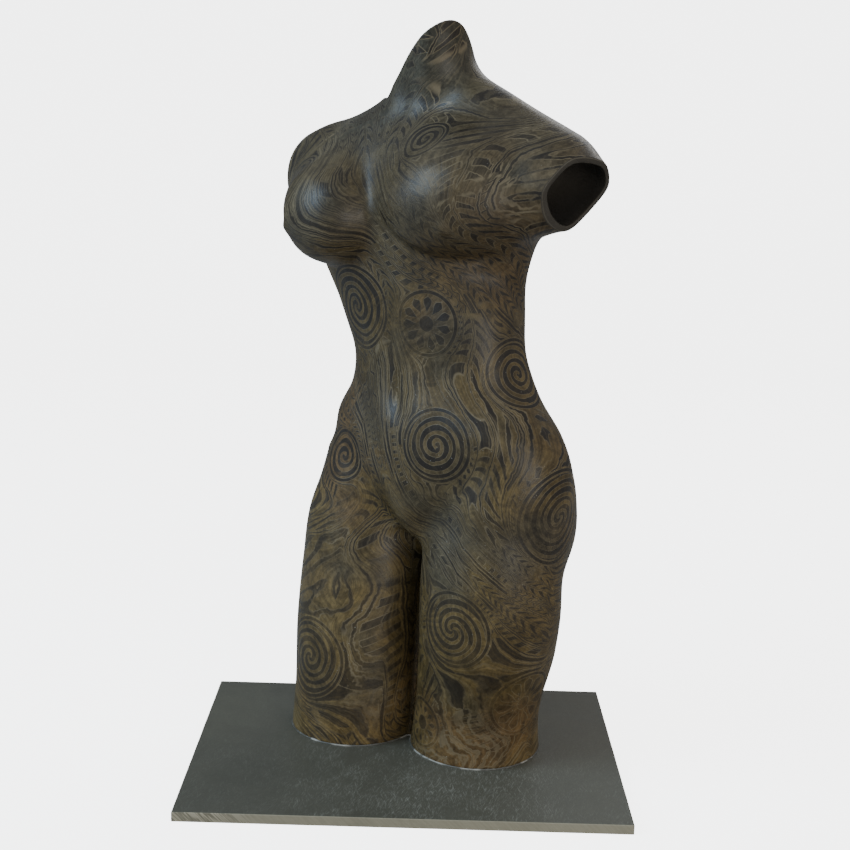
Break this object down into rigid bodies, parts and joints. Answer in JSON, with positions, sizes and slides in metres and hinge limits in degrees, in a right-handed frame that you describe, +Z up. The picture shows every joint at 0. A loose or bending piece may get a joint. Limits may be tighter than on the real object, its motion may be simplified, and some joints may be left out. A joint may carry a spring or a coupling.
{
  "type": "torso statue",
  "caption": "Hollow glazed ceramic torso of a standing woman, cut off at the neck, arms and thighs, on a flat rectangular slate plate.",
  "frame": {"origin": "middle of the plate's underside, where it stands on a floor or a shelf", "axes": "+Z up, +X along the plate's long side, -Y towards the front edge of the plate"},
  "size_m": [0.4, 0.3016, 0.6847],
  "materials": {
    "glazed_clay": "semi-gloss olive-brown glaze with dark brown painted strokes",
    "slate": "honed dark grey, scuffed, with a paler sawn edge"
  },
  "bodies": {
    "root": {"torso": "glazed_clay", "plate": "slate"}
  },
  "joints": []
}
